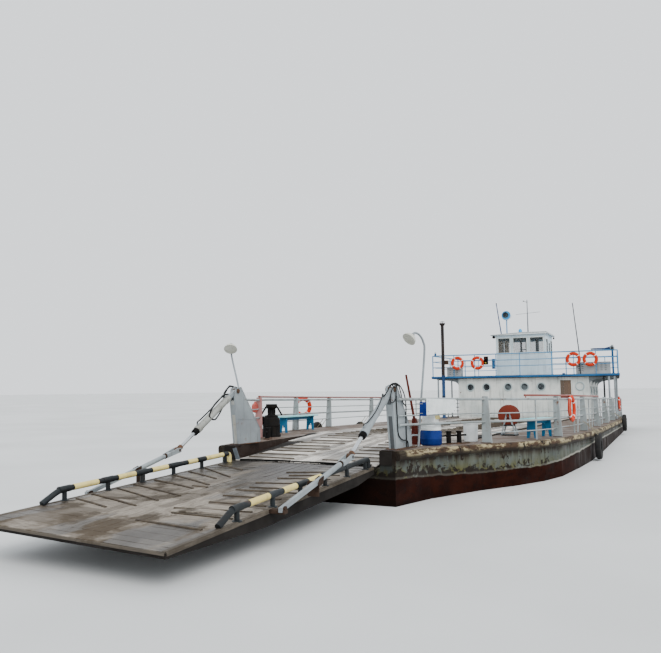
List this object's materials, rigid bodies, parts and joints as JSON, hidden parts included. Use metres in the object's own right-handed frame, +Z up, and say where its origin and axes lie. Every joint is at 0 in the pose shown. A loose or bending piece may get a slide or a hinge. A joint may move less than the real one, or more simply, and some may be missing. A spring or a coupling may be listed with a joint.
{
  "type": "passenger and vehicle ferry",
  "caption": "River ferry for passengers and vehicles: decked steel hull, hinged bow ramp on lifting cylinders, deckhouse and wheelhouse aft.",
  "frame": {"origin": "middle of the whole ferry's length and beam, at the level of the hull's flat bottom", "axes": "+X to the bow and ramp, +Y to port, +Z up"},
  "size_m": [37.5456, 10.4816, 8.65],
  "materials": {
    "hull_paint": "weathered grey-green paint over a rust-red bottom",
    "rusted_steel": "worn and rusted",
    "planks": "wet, worn, unpainted",
    "grey_paint": "semi-gloss, stained",
    "dark_paint": "semi-gloss",
    "kerb_paint": "semi-gloss, banded",
    "white_paint": "semi-gloss, rust-streaked",
    "blue_paint": "semi-gloss",
    "teal_paint": "satin",
    "blue_plastic": "satin",
    "ring_orange": "matte with white bands",
    "red_paint": "satin",
    "rod_chrome": "polished",
    "bronze": "cast",
    "tyre_rubber": "worn"
  },
  "bodies": {
    "ferry": {"hull": "hull_paint", "rubbing_belt": "rusted_steel", "deck_planking": "planks", "pylon_port": "grey_paint", "pylon_starboard": "grey_paint", "side_rail_port": "grey_paint", "side_rail_port_aft": "grey_paint", "side_rail_starboard": "grey_paint", "stern_rail": "grey_paint", "capstan_base": "dark_paint", "bench_port": "teal_paint", "bench_starboard": "teal_paint", "barrel": "blue_plastic", "bollards_port": "dark_paint", "bollards_starboard": "dark_paint", "deck_locker": "white_paint", "reel_stand": "dark_paint", "deckhouse_walls": "white_paint", "bridge_deck": "blue_paint", "bridge_rail": "blue_paint", "bridge_locker_port": "white_paint", "bridge_locker_starboard": "white_paint", "exhaust_pipe": "rusted_steel", "wheelhouse_walls": "white_paint", "wheelhouse_roof": "white_paint", "helm_console": "dark_paint", "mast": "grey_paint", "searchlight": "blue_paint", "life_ring_1": "ring_orange", "life_ring_2": "ring_orange", "life_ring_3": "ring_orange", "life_ring_4": "ring_orange", "life_ring_5": "ring_orange", "life_ring_6": "ring_orange", "life_ring_7": "ring_orange", "tyre_port_1": "tyre_rubber", "tyre_port_2": "tyre_rubber", "tyre_starboard_1": "tyre_rubber", "tyre_starboard_2": "tyre_rubber"},
    "bow_ramp": {"ramp_deck": "planks", "ramp_kerb_port": "kerb_paint", "ramp_kerb_starboard": "kerb_paint", "ramp_arm_port": "grey_paint", "ramp_arm_starboard": "grey_paint"},
    "davit": {"davit_boom": "blue_paint"},
    "capstan": {"capstan_drum": "dark_paint"},
    "reel": {"reel_drum": "red_paint"},
    "lift_barrel_port_body": {"lift_barrel_port": "grey_paint"},
    "lift_rod_port_body": {"lift_rod_port": "rod_chrome"},
    "lift_barrel_starboard_body": {"lift_barrel_starboard": "grey_paint"},
    "lift_rod_starboard_body": {"lift_rod_starboard": "rod_chrome"},
    "propeller_port_body": {"propeller_port": "bronze"},
    "rudder_port_body": {"rudder_port": "rusted_steel"},
    "propeller_starboard_body": {"propeller_starboard": "bronze"},
    "rudder_starboard_body": {"rudder_starboard": "rusted_steel"},
    "deckhouse_door_port_body": {"deckhouse_door_port": "white_paint"},
    "deckhouse_door_starboard_body": {"deckhouse_door_starboard": "white_paint"},
    "wheelhouse_door_port_body": {"wheelhouse_door_port": "white_paint"},
    "wheelhouse_door_starboard_body": {"wheelhouse_door_starboard": "white_paint"}
  },
  "joints": [
    {"name": "ramp_hinge", "type": "hinge", "parent": "ferry", "child": "bow_ramp", "pos_m": [12.34716, 0, 1.58], "axis": [0, -1, 0], "range_deg": [-12, 20]},
    {"name": "lift_tilt_port", "type": "hinge", "parent": "ferry", "child": "lift_barrel_port_body", "pos_m": [11.99716, 2, 3.27], "axis": [0, -1, 0], "range_deg": [-7, 11]},
    {"name": "lift_slide_port", "type": "slide", "parent": "lift_barrel_port_body", "child": "lift_rod_port_body", "axis": [0.8538, 0, -0.5206], "range_m": [-0.46, 0.28]},
    {"name": "lift_tilt_starboard", "type": "hinge", "parent": "ferry", "child": "lift_barrel_starboard_body", "pos_m": [11.99716, -2, 3.27], "axis": [0, -1, 0], "range_deg": [-7, 11]},
    {"name": "lift_slide_starboard", "type": "slide", "parent": "lift_barrel_starboard_body", "child": "lift_rod_starboard_body", "axis": [0.8538, 0, -0.5206], "range_m": [-0.46, 0.28]},
    {"name": "propeller_spin_port", "type": "hinge", "parent": "ferry", "child": "propeller_port_body", "pos_m": [-16.65284, 2.1, 0.52], "axis": [1, 0, 0], "continuous": true},
    {"name": "propeller_spin_starboard", "type": "hinge", "parent": "ferry", "child": "propeller_starboard_body", "pos_m": [-16.65284, -2.1, 0.52], "axis": [1, 0, 0], "continuous": true},
    {"name": "rudder_turn_port", "type": "hinge", "parent": "ferry", "child": "rudder_port_body", "pos_m": [-17.60284, 2.1, 0.9], "axis": [0, 0, 1], "range_deg": [-35, 35]},
    {"name": "rudder_turn_starboard", "type": "hinge", "parent": "ferry", "child": "rudder_starboard_body", "pos_m": [-17.60284, -2.1, 0.9], "axis": [0, 0, 1], "range_deg": [-35, 35]},
    {"name": "deckhouse_door_swing_port", "type": "hinge", "parent": "ferry", "child": "deckhouse_door_port_body", "pos_m": [-14.26084, 3.5123, 3.2], "axis": [0, 0, -1], "range_deg": [0, 90]},
    {"name": "deckhouse_door_swing_starboard", "type": "hinge", "parent": "ferry", "child": "deckhouse_door_starboard_body", "pos_m": [-14.26084, -3.5123, 3.2], "axis": [0, 0, 1], "range_deg": [0, 90]},
    {"name": "wheelhouse_door_swing_port", "type": "hinge", "parent": "ferry", "child": "wheelhouse_door_port_body", "pos_m": [-13.31084, 1.3523, 5.4], "axis": [0, 0, -1], "range_deg": [0, 90]},
    {"name": "wheelhouse_door_swing_starboard", "type": "hinge", "parent": "ferry", "child": "wheelhouse_door_starboard_body", "pos_m": [-13.31084, -1.3523, 5.4], "axis": [0, 0, 1], "range_deg": [0, 90]},
    {"name": "davit_swing", "type": "hinge", "parent": "ferry", "child": "davit", "pos_m": [-12.27284, 4.7, 5.65], "axis": [0, 0, 1], "range_deg": [-100, 180]},
    {"name": "capstan_spin", "type": "hinge", "parent": "ferry", "child": "capstan", "pos_m": [8.59716, -3.1, 2.7], "axis": [0, 0, 1], "continuous": true},
    {"name": "reel_spin", "type": "hinge", "parent": "ferry", "child": "reel", "pos_m": [5.34716, 3.04, 2.59], "axis": [1, 0, 0], "continuous": true}
  ],
  "couplings": [
    {"joint": "lift_tilt_port", "follows": "ramp_hinge", "ratio": 0.51},
    {"joint": "lift_slide_port", "follows": "ramp_hinge", "m_per_rad": -1.29},
    {"joint": "lift_tilt_starboard", "follows": "ramp_hinge", "ratio": 0.51},
    {"joint": "lift_slide_starboard", "follows": "ramp_hinge", "m_per_rad": -1.29},
    {"joint": "rudder_turn_starboard", "follows": "rudder_turn_port", "ratio": 1}
  ]
}
